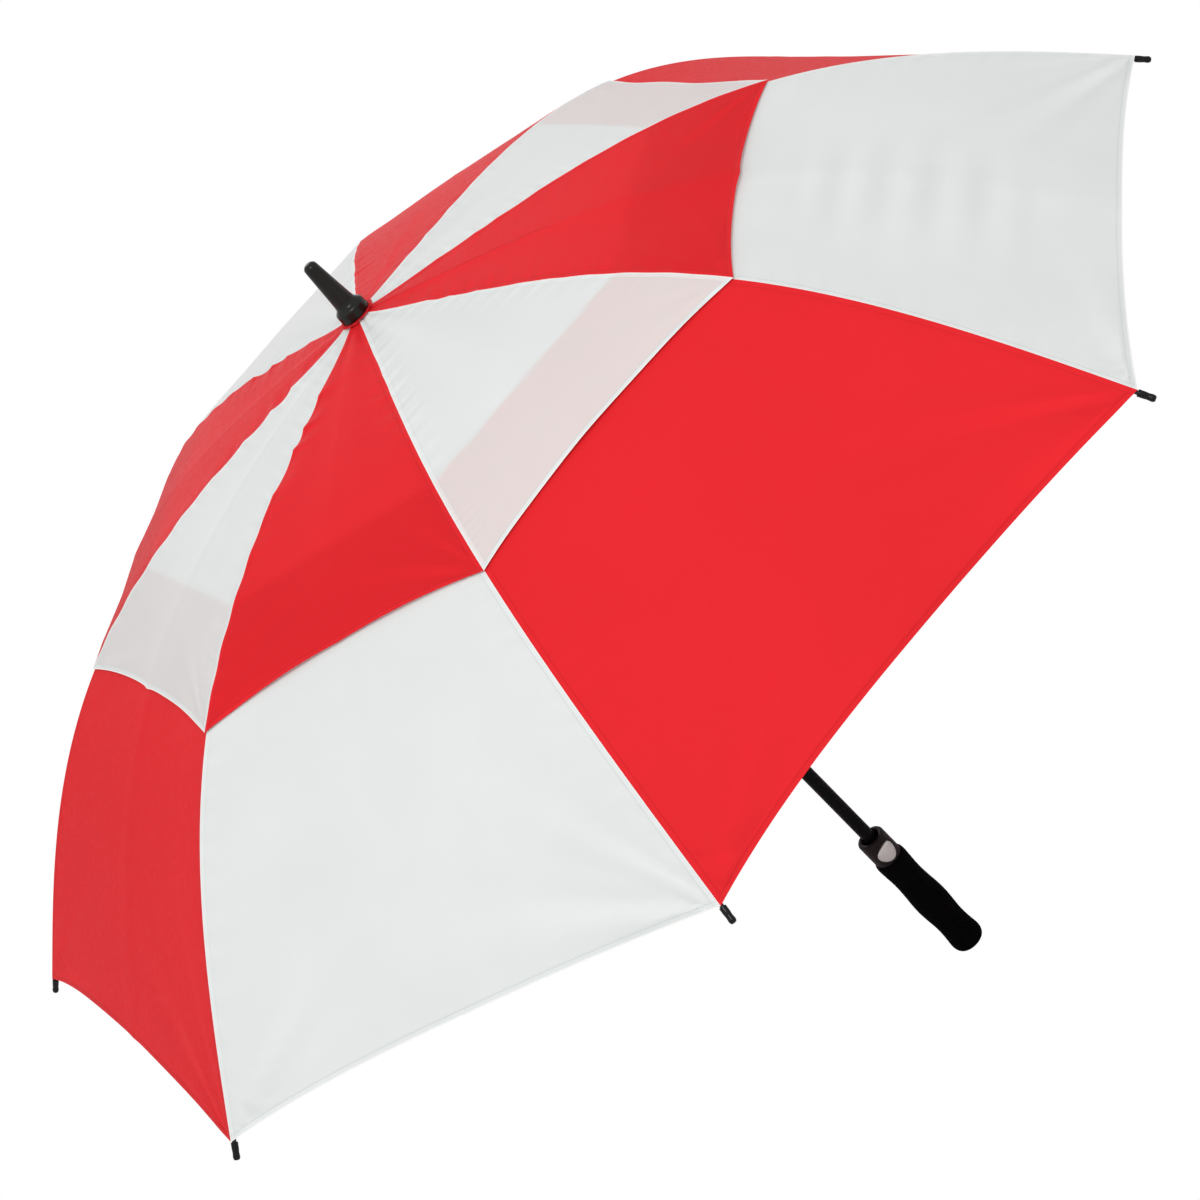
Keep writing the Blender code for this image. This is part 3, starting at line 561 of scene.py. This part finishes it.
def fabric(name, colour, light_edge, through, sheen, painted_sheen, specular):
    """Woven polyester: weave, seams, hem, stitches, gathers, painted wrinkle and crease shade, painted sheen at
    grazing angles, and the rim that shows through white cloth as a painted tint.
    """
    shader = Shader(name)
    seam = shader.attribute("seam")
    hem = shader.attribute("hem")
    under = shader.attribute("under")
    coords = shader.node("ShaderNodeTexCoord").outputs["Object"]
    uv = shader.node("ShaderNodeUVMap", uv_map="Cloth").outputs[0]
    radius = shader.node("ShaderNodeSeparateXYZ", {"Vector": uv}).outputs["Y"]
    cloud = shader.noise(7.0, 3.0, 0.5, coords)
    tone_and_fold_shade = shader.ramp(cloud, 0.3, 0.7, 0.985, 1.015)
    # painted shade and light: the cloth's colour is darker or lighter with the slope of its wrinkles, as if lit
    # from one side
    tone_and_fold_shade = shader.product(tone_and_fold_shade, shader.ramp(shader.attribute("fold"), -1.0, 1.0, 0.93, 1.05))
    grey = shader.node("ShaderNodeCombineColor", {0: tone_and_fold_shade, 1: tone_and_fold_shade, 2: tone_and_fold_shade}).outputs[0]
    base = shader.mix_colour(1.0, rgb(colour), grey, "MULTIPLY")
    doubled = shader.math(
        "MAXIMUM",
        shader.ramp(seam, ALLOWANCE - 0.0006, ALLOWANCE + 0.0006, 1.0, 0.0),
        shader.ramp(hem, HEM_FOLD - 0.0006, HEM_FOLD + 0.0006, 1.0, 0.0),
    )
    along_seam = shader.product(shader.ramp(seam, 0.0006, 0.0015, 0.55, 0.0), shader.ramp(radius, 0.12, 0.24))
    edge = shader.math("MAXIMUM", along_seam, shader.ramp(hem, 0.0008, 0.0017, 1.0, 0.0))
    stitch = shader.math(
        "MAXIMUM", line_at(shader, seam, ALLOWANCE, 0.0011), line_at(shader, hem, HEM_FOLD, 0.0009)
    )
    # painted shade: a thin dark line along the crease down the middle of an upper panel
    crease = shader.ramp(shader.attribute("middle"), 0.0003, 0.0012, 1.0, 0.0)
    if light_edge:
        streak = shader.ramp(shader.noise(30.0, 2.0, 0.5, coords), 0.25, 0.75, 0.86, 1.0)
        clear_of_hem = shader.ramp(hem, HEM_FOLD - 0.0006, HEM_FOLD + 0.0006, 0.0, 1.0)
        # painted see-through light: the red lower layer's rim tinted into the white cloth
        band = shader.product(under, clear_of_hem, shader.ramp(seam, 0.0014, 0.0030, 0.25, 1.0), streak)
        layers = (
            (band, 1.0, SEE_THROUGH_TINT), (stitch, 0.20, STITCH_GREY),
            (crease, 0.16, CREASE_SHADE_GREY), (edge, 0.75, EDGE_WHITE),
        )
    else:
        # red cloth: darker doubled seams and stitches, and a painted shade along the middle crease
        dim, dark = (tuple(c * share for c in colour) for share in (0.60, 0.45))
        layers = ((doubled, 0.10, dim), (stitch, 0.16, dark), (crease, 0.30, dark))
    for mask, share, tint in layers:
        base = shader.mix_colour(shader.product(mask, share), base, rgb(tint))
    facing = shader.node("ShaderNodeLayerWeight", {"Blend": 0.5}).outputs["Facing"]
    # painted sheen: the colour whitens where the cloth is seen at a grazing angle
    base = shader.mix_colour(shader.ramp(facing, 0.72, 0.95, 0.0, painted_sheen), base, rgb(PAINTED_SHEEN_WHITE))
    patch = shader.ramp(shader.noise(16.0, 1.0, 0.5, coords), 0.45, 0.65)
    near_seam = shader.ramp(seam, 0.003, 0.040, 1.0, 0.0)
    near_hem = shader.product(shader.ramp(radius, 0.28, 0.34), shader.ramp(radius, 0.40, 0.46, 1.0, 0.3))
    gather = shader.product(shader.wave(38.0, 5.0, 2.0, 0.6, uv, "Y"), patch, near_seam, near_hem, GATHER_HEIGHT)
    weft, warp = (shader.wave(WEAVE_SCALE, 0.6, 1.0, 2.0, uv, direction) for direction in ("X", "Y"))
    height = shader.product(shader.math("ADD", weft, warp), WEAVE_HEIGHT)
    for mask, rise in (
        (shader.noise(55.0, 3.0, 0.55, coords), CRINKLE_HEIGHT), (doubled, ALLOWANCE_HEIGHT),
        (stitch, STITCH_HEIGHT), (gather, 1.0),
    ):
        height = shader.math("ADD", height, shader.product(mask, rise))
    bump = shader.bump(height, 0.7)
    rough = shader.ramp(shader.noise(180.0, 2.0, 0.5, coords), 0.2, 0.8, 0.36, 0.48)
    cloth = shader.node(
        "ShaderNodeBsdfPrincipled",
        {
            "Base Color": base,
            "Roughness": rough,
            "Specular IOR Level": specular,
            "Sheen Weight": sheen,
            "Sheen Roughness": 0.35,
            "Sheen Tint": rgb(SHEEN_TINT),
            "Normal": bump,
        },
    ).outputs[0]
    glow = shader.node("ShaderNodeBsdfTranslucent", {"Color": base, "Normal": bump}).outputs[0]
    share = shader.product(shader.ramp(doubled, 0.0, 1.0, 1.0, 0.45), through)
    mixed = shader.node("ShaderNodeMixShader", {0: share, 1: cloth, 2: glow}).outputs[0]
    return shader.finish(mixed)


def moulded(name, colour, rough_low, rough_high, grain, depth, specular=0.5, coat=0.0):
    """Moulded plastic with a fine grain and uneven gloss."""
    shader = Shader(name)
    coords = shader.node("ShaderNodeTexCoord").outputs["Object"]
    fine = shader.noise(grain, 3.0, 0.6, coords)
    broad = shader.noise(60.0, 3.0, 0.5, coords)
    rough = shader.ramp(broad, 0.25, 0.75, rough_low, rough_high)
    light = tuple(min(1.0, c * 1.35 + 0.002) for c in colour)
    base = shader.mix_colour(shader.ramp(broad, 0.3, 0.8, 0.0, 0.6), rgb(colour), rgb(light))
    bump = shader.bump(shader.product(fine, depth), 0.6)
    made = shader.node(
        "ShaderNodeBsdfPrincipled",
        {
            "Base Color": base,
            "Roughness": rough,
            "Specular IOR Level": specular,
            "Coat Weight": coat,
            "Coat Roughness": 0.08,
            "Normal": bump,
        },
    ).outputs[0]
    return shader.finish(made)


def metal(name, colour, rough, metallic, specular=0.5):
    """Metal or metallic paint with faint drawn lines."""
    shader = Shader(name)
    coords = shader.node("ShaderNodeTexCoord").outputs["Object"]
    stretched = shader.node("ShaderNodeMapping", {"Vector": coords, "Scale": (900.0, 900.0, 40.0)}).outputs[0]
    lines = shader.noise(1.0, 3.0, 0.6, stretched)
    gloss = shader.ramp(lines, 0.2, 0.8, rough * 0.8, rough * 1.25)
    bump = shader.bump(shader.product(lines, 0.00002), 0.4)
    made = shader.node(
        "ShaderNodeBsdfPrincipled",
        {
            "Base Color": rgb(colour),
            "Metallic": metallic,
            "Roughness": gloss,
            "Specular IOR Level": specular,
            "Normal": bump,
        },
    ).outputs[0]
    return shader.finish(made)


def dress(item, look):
    """Give an object one material."""
    item.data.materials.clear()
    item.data.materials.append(look)
    return item


LOOKS = {
    "fabric_red": fabric("cloth_red", RED, False, 0.22, 0.002, 0.0, 0.022),
    "fabric_white": fabric("cloth_white", WHITE, True, 0.16, 0.02, 0.20, 0.055),
    "shaft_black": metal("painted_shaft", (0.002, 0.002, 0.002), 0.30, 0.0, 0.06),
    "rib_black": metal("fibreglass_rib", (0.014, 0.014, 0.016), 0.40, 0.0, 0.35),
    "cap_black": moulded("gloss_cap", (0.002, 0.002, 0.002), 0.16, 0.24, 500.0, 0.00002, 0.20, 0.05),
    "moulded_black": moulded("moulded_black", (0.008, 0.008, 0.009), 0.38, 0.52, 900.0, 0.00008, 0.3),
    "ferrule_black": moulded("ferrule_plastic", (0.004, 0.004, 0.003), 0.20, 0.28, 900.0, 0.00004, 0.30),
    "collar_black": moulded("collar_soft_touch", (0.008, 0.005, 0.0055), 0.42, 0.56, 1100.0, 0.00006, 0.12),
    "foam_black": moulded("foam", (0.0009, 0.0009, 0.0009), 0.86, 0.97, 1500.0, 0.00045, 0.03),
    "button_silver": metal("button_silver", (0.52, 0.53, 0.52), 0.34, 0.7),
    "spring_steel": metal("spring_steel", (0.55, 0.55, 0.57), 0.28, 1.0),
}


# ---------------------------------------------------------------- the object's pieces


def build_canopy():
    """Sixteen cloth panels: red and white by turns, the lower ring the other way round."""
    for gore in range(PANELS):
        for upper in (True, False):
            layer = "upper" if upper else "lower"
            piece = cloth_panel(upper, gore)
            is_red = (gore % 2 == 0) == upper
            look = "fabric_red" if is_red else "fabric_white"
            dress(piece, LOOKS[look])
            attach(piece, f"{layer}_gore_{gore}_body")
            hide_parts(f"{layer}_gore_{gore}")
            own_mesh(piece)


def carried_nodes():
    """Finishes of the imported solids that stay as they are."""
    for part in frame["record"]["subparts"]:
        node = frame["nodes"][part["node"]]
        dress(node, LOOKS[part["material_slot"]])


def stand_for(piece, body, slot, *nodes):
    """Give a hand-built piece its finish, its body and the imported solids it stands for."""
    dress(piece, LOOKS[slot])
    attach(piece, body)
    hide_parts(*nodes)
    return piece


def build_strap():
    """Closing strap: a hemmed cloth strip along the outside of one lower panel."""
    columns, rows = 12, 60
    depth = TIP_R - LOWER_INNER_R
    low, high = ((r - LOWER_INNER_R) / depth for r in STRAP_SPAN)
    share, side = np.meshgrid(
        np.linspace(low, high, rows + 1), np.linspace(-1, 1, columns + 1), indexing="ij"
    )
    across = side * STRAP_WIDTH / 2 / ((LOWER_INNER_R + depth * share) * math.sin(HALF_PANEL))
    points, radius, *_ = gore_surface(False, STRAP_GORE, share, across)
    steep = rib_slope(radius)
    lift = STRAP_LIFT + 0.0008 * np.sin(26.0 * share) ** 2 + 0.0004 * np.sin(9.0 * side + 14.0 * share)
    points[..., 0] += lift * np.sin(steep)
    points[..., 2] += lift * np.cos(steep)
    edge = STRAP_WIDTH / 2 * (1 - np.abs(side))
    ends = np.minimum(share - low, high - share) * depth
    placed = turn_z(points, -PANEL_ANGLE * (STRAP_GORE + 0.5)).reshape(-1, 3)
    uv = np.stack([points[..., 1], radius], -1).reshape(-1, 2)
    values = {
        "seam": (edge + 0.0035).reshape(-1),
        "hem": (ends + 0.0015).reshape(-1),
        "under": np.zeros(edge.size),
        "middle": np.ones(edge.size),
        "fold": np.zeros(edge.size),
    }
    strap = mesh_object("closing_strap", placed, grid_faces(rows, columns), uv, values)
    solid_sheet(strap, STRAP_THICK)
    stand_for(strap, f"lower_gore_{STRAP_GORE}_body", "fabric_red", "closure_strap")


def solid_sheet(item, thickness):
    """Turn a sheet into a closed solid of this thickness."""
    skin = item.modifiers.new("Thickness", "SOLIDIFY")
    skin.thickness = thickness
    skin.offset = 1.0
    bpy.context.view_layer.update()
    graph = bpy.context.evaluated_depsgraph_get()
    mesh = bpy.data.meshes.new_from_object(item.evaluated_get(graph))
    item.modifiers.clear()
    item.data = mesh


def build_rosette():
    """Ruffled cloth washer under the ferrule, with a pinked edge."""
    turns, rings = 144, 6
    angle = np.linspace(0, 2 * math.pi, turns + 1)
    share, theta = np.meshgrid(np.linspace(0, 1, rings + 1), angle, indexing="ij")
    edge = ROSETTE_R + 0.00045 * np.sign(np.sin(36 * theta)) + 0.0005 * np.sin(3 * theta + 1)
    radius = ROSETTE_BORE_R + (edge - ROSETTE_BORE_R) * share
    height = ROSETTE_Z + share ** 3 * (0.0004 * np.sin(8 * theta) + 0.0003 * np.sin(13 * theta + 2) + 0.0001)
    points = np.stack([radius * np.cos(theta), radius * np.sin(theta), height], -1).reshape(-1, 3)
    rim = (radius.max() - radius).reshape(-1)
    uv = np.stack([points[:, 0], points[:, 1]], -1)
    flat, clear = np.zeros(rim.size), np.ones(rim.size)
    values = {"seam": clear, "hem": rim + 0.002, "under": flat, "middle": clear, "fold": flat}
    rosette = mesh_object("rosette", points, grid_faces(rings, turns), uv, values)
    weld(rosette)
    solid_sheet(rosette, ROSETTE_THICK)
    stand_for(rosette, "frame_body", "fabric_red", "canopy_washer")


def weld(item):
    """Join points that lie on each other."""
    bm = bmesh.new()
    bm.from_mesh(item.data)
    bmesh.ops.remove_doubles(bm, verts=bm.verts, dist=0.00001)
    bm.to_mesh(item.data)
    bm.free()


def build_ferrule():
    """Moulded spike: a slim taper on a chamfered drum, with a bore for the shaft's end."""
    low, tip = FERRULE_SPAN
    bore_r, depth = FERRULE_BORE
    taper = [
        (0.0, tip), (0.0034, tip), (0.0064, tip - 0.0026), (0.0068, tip - 0.0060), (0.0098, low + 0.0168),
        (0.0106, low + 0.0132), (0.0146, low + 0.0098), (0.0148, low + 0.0006), (0.0143, low), (bore_r, low),
    ]
    bore = [(bore_r, low + depth), (0.0, low + depth + 0.0005)]
    ferrule = lathe("ferrule_moulding", np.concatenate([fillet(taper, 0.0016, 6), bore]), ROUND_STEPS)
    stand_for(ferrule, "frame_body", "ferrule_black", "ferrule")


def build_grip():
    """Foam grip: swelling, waisted and flared, with a soft rounded end and the bore for the shaft and collar."""
    outside = rounded(
        [
            (0.0158, 0.1396), (0.0166, 0.1382), (0.0170, 0.1335), (0.0165, 0.1240), (0.0159, 0.1130),
            (0.0158, 0.1070), (0.0160, 0.0990), (0.0166, 0.0890), (0.0174, 0.0790), (0.0178, 0.0680),
            (0.0175, 0.0590), (0.0167, 0.0480), (0.0161, 0.0400), (0.0160, 0.0340), (0.0163, 0.0250),
            (0.0171, 0.0155), (0.0175, 0.0100), (0.0171, 0.0055), (0.0154, 0.0018), (0.0120, 0.0),
        ],
        7,
    )
    bore = [(0.0, 0.0097), (0.0073, 0.0097), (0.0073, 0.0897), (0.0108, 0.0897), (0.0108, 0.1396)]
    grip = lathe("foam_handle", np.concatenate([bore, outside, [(0.0, 0.0)]]), ROUND_STEPS)
    stand_for(grip, "frame_body", "foam_black", "foam_grip")


def build_tip_caps():
    """Glossy moulded caps at the rib ends."""
    head = [(0.0, CAP_LENGTH), (0.0022, CAP_LENGTH), (0.0031, CAP_LENGTH - 0.0022)]
    body = [(0.0027, 0.0090), (0.0030, 0.0058), (0.0030, 0.0006), (0.0022, 0.0006), (0.0022, 0.0080)]
    profile = np.concatenate([fillet(head + body, 0.0011, 5), [(0.0, 0.0092)]])
    turn = Matrix.Rotation(math.pi / 2, 4, "Y")
    tilt = Matrix.Rotation(float(rib_slope(TIP_R)), 4, "Y")
    for k in range(PANELS):
        cap = lathe(f"tip_cap_moulding_{k}", profile, 32)
        around = Matrix.Rotation(-PANEL_ANGLE * k, 4, "Z")
        place = around @ Matrix.Translation((TIP_R, 0.0, float(rib_height(TIP_R)))) @ tilt @ turn
        cap.data.transform(place)
        stand_for(cap, f"outer_rib_{k}_body", "cap_black", f"tip_cap_{k}")


def build_button():
    """Egg-shaped thumb button: a shallow dome that follows the collar's curve, with a rolled edge."""
    rings = (
        (0.0, 0.0009), (0.25, 0.00086), (0.5, 0.00072), (0.7, 0.0005), (0.85, 0.0002), (0.94, -0.0002),
        (0.985, -0.0008), (1.0, -0.0015), (1.0, -0.0026), (0.9, -0.0030), (0.0, -0.0030),
    )
    count = 72
    points, faces = [], []
    lean_c, lean_s = math.cos(BUTTON_LEAN), math.sin(BUTTON_LEAN)
    c, s = math.cos(BUTTON_AZIMUTH), math.sin(BUTTON_AZIMUTH)
    for grow, height in rings:
        for i in range(count):
            angle = 2 * math.pi * i / count
            up = math.sin(angle)
            half = BUTTON_WIDTH / 2 * (1 - EGG_TAPER * up)
            a, b = half * math.cos(angle) * grow, BUTTON_HEIGHT / 2 * up * grow
            across, above = a * lean_c + b * lean_s, -a * lean_s + b * lean_c
            out = math.sqrt(BUTTON_FACE_R ** 2 - across ** 2) + height
            points.append((out * c - across * s, out * s + across * c, BUTTON_Z + above))
    for ring in range(len(rings) - 1):
        for i in range(count):
            j = (i + 1) % count
            a, b = ring * count, (ring + 1) * count
            faces.append((a + i, a + j, b + j, b + i))
    button = mesh_object("thumb_button", points, faces)
    weld(button)
    button.data.set_sharp_from_angle(angle=math.radians(60))
    stand_for(button, "button_body", "button_silver", "push_button")


def coil(name, sizes, span, turns, place=Matrix.Identity(4)):
    """Coil spring along Z, set in place; sizes are the radii of the coil and of its wire."""
    radius, wire = sizes
    low, high = span
    per_turn, sides = 24, 8
    steps = turns * per_turn
    t = np.linspace(0, 1, steps + 1)
    around = 2 * math.pi * turns * t
    height = low + wire + (high - low - 2 * wire) * t
    centre = np.stack([radius * np.cos(around), radius * np.sin(around), height], -1)
    outward = np.stack([np.cos(around), np.sin(around), np.zeros_like(around)], -1)
    along = np.gradient(centre, axis=0)
    along = along / np.linalg.norm(along, axis=1, keepdims=True)
    side = np.cross(along, outward)
    ring = np.linspace(0, 2 * math.pi, sides, endpoint=False)
    points = centre[:, None] + wire * (
        np.cos(ring)[None, :, None] * outward[:, None] + np.sin(ring)[None, :, None] * side[:, None]
    )
    faces = []
    for i in range(steps):
        for j in range(sides):
            k = (j + 1) % sides
            faces.append((i * sides + j, i * sides + k, (i + 1) * sides + k, (i + 1) * sides + j))
    faces.append(tuple(range(sides))[::-1])
    faces.append(tuple(steps * sides + j for j in range(sides)))
    made = mesh_object(name, points.reshape(-1, 3), faces)
    made.data.transform(place)
    return made


def build_springs():
    """Opening spring in the shaft and return spring behind the button."""
    spring = coil("opening_coil", OPENING_COIL, OPENING_SPRING_SPAN, OPENING_TURNS)
    stand_for(spring, "frame_body", "spring_steel", "opening_spring")
    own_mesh(spring)
    place = Matrix.Translation((0.0, 0.0, BUTTON_Z)) @ Matrix.Rotation(BUTTON_AZIMUTH, 4, "Z")
    place = place @ Matrix.Rotation(math.pi / 2, 4, "Y")
    small = coil("button_coil", BUTTON_COIL, BUTTON_SPRING_SPAN, BUTTON_TURNS, place)
    stand_for(small, "frame_body", "spring_steel", "button_spring")
    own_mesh(small)


def build_studio():
    """Plain white floor that is clear from below, a pale room and one large soft lamp."""
    corners = [(x * FLOOR_HALF, y * FLOOR_HALF, 0.0) for x, y in ((-1, -1), (1, -1), (1, 1), (-1, 1))]
    floor = mesh_object("floor", corners, [(0, 1, 2, 3)], smooth=False)
    shader = Shader("floor_paper")
    plain = shader.node("ShaderNodeBsdfDiffuse", {"Color": rgb(FLOOR_GREY)}).outputs[0]
    bright = shader.node("ShaderNodeEmission", {"Color": rgb(PLAIN_WHITE), "Strength": 1.0}).outputs[0]
    clear = shader.node("ShaderNodeBsdfTransparent").outputs[0]
    seen = shader.node("ShaderNodeLightPath").outputs["Is Camera Ray"]
    from_below = shader.node("ShaderNodeNewGeometry").outputs["Backfacing"]
    above = shader.node("ShaderNodeMixShader", {0: seen, 1: plain, 2: bright}).outputs[0]
    both = shader.node("ShaderNodeMixShader", {0: from_below, 1: above, 2: clear}).outputs[0]
    dress(floor, shader.finish(both))
    bpy.context.scene.world = studio_world()
    area_light("key", KEY_AT, KEY_AIM, KEY_SIZE, KEY_POWER)


def studio_world():
    """Pale room, darker at the back, with a bright backdrop behind the object; plain white to the camera."""
    world = bpy.data.worlds.new("studio")
    world.use_nodes = True
    tree = world.node_tree
    direction = tree.nodes.new("ShaderNodeTexCoord").outputs["Generated"]
    background = tree.nodes["Background"]
    background.inputs["Color"].default_value = rgb(PLAIN_WHITE)
    total = tree.nodes.new("ShaderNodeMath")
    zones = (
        (BACKDROP_TOWARDS, BACKDROP_EDGE, (0.0, BACKDROP_LIGHT)),
        ((0.0, 1.0, 0.0), REAR_EDGE, (WORLD_LIGHT, REAR_LIGHT)),
    )
    for socket, (axis, edge, light) in zip(total.inputs, zones):
        towards = tree.nodes.new("ShaderNodeVectorMath")
        towards.operation = "DOT_PRODUCT"
        tree.links.new(direction, towards.inputs[0])
        towards.inputs[1].default_value = axis
        ramp = tree.nodes.new("ShaderNodeMapRange")
        ramp.interpolation_type = "SMOOTHSTEP"
        tree.links.new(towards.outputs["Value"], ramp.inputs[0])
        for index, value in enumerate((*edge, *light), 1):
            ramp.inputs[index].default_value = value
        tree.links.new(ramp.outputs[0], socket)
    plain = tree.nodes.new("ShaderNodeMix")
    tree.links.new(tree.nodes.new("ShaderNodeLightPath").outputs["Is Camera Ray"], plain.inputs[0])
    tree.links.new(total.outputs[0], plain.inputs[2])
    plain.inputs[3].default_value = 1.0
    tree.links.new(plain.outputs[0], background.inputs["Strength"])
    return world


def area_light(name, at, aim, size, power):
    """Round soft lamp aimed at a point."""
    lamp = bpy.data.lights.new(name, "AREA")
    lamp.shape = "DISK"
    lamp.size = size
    lamp.energy = power
    made = bpy.data.objects.new(name, lamp)
    made.location = at
    made.rotation_euler = (Vector(aim) - Vector(at)).to_track_quat("-Z", "Y").to_euler()
    bpy.context.scene.collection.objects.link(made)


def build_camera():
    """Camera set by its place, direction and roll."""
    back = -Vector(CAMERA_FORWARD).normalized()
    right = Vector(CAMERA_UP).cross(back).normalized()
    up = back.cross(right)
    camera = bpy.data.cameras.new("camera")
    camera.lens = CAMERA_LENS
    camera.sensor_width = SENSOR_WIDTH
    camera.clip_end = 200.0
    made = bpy.data.objects.new("camera", camera)
    place = Matrix((right, up, back)).transposed().to_4x4()
    place.translation = Vector(CAMERA_AT)
    made.matrix_world = place
    bpy.context.scene.collection.objects.link(made)
    bpy.context.scene.camera = made
    bpy.context.scene.view_settings.view_transform = "Standard"


carried_nodes()
build_canopy()
build_strap()
build_rosette()
build_ferrule()
build_grip()
build_tip_caps()
build_button()
build_springs()
build_studio()
build_camera()

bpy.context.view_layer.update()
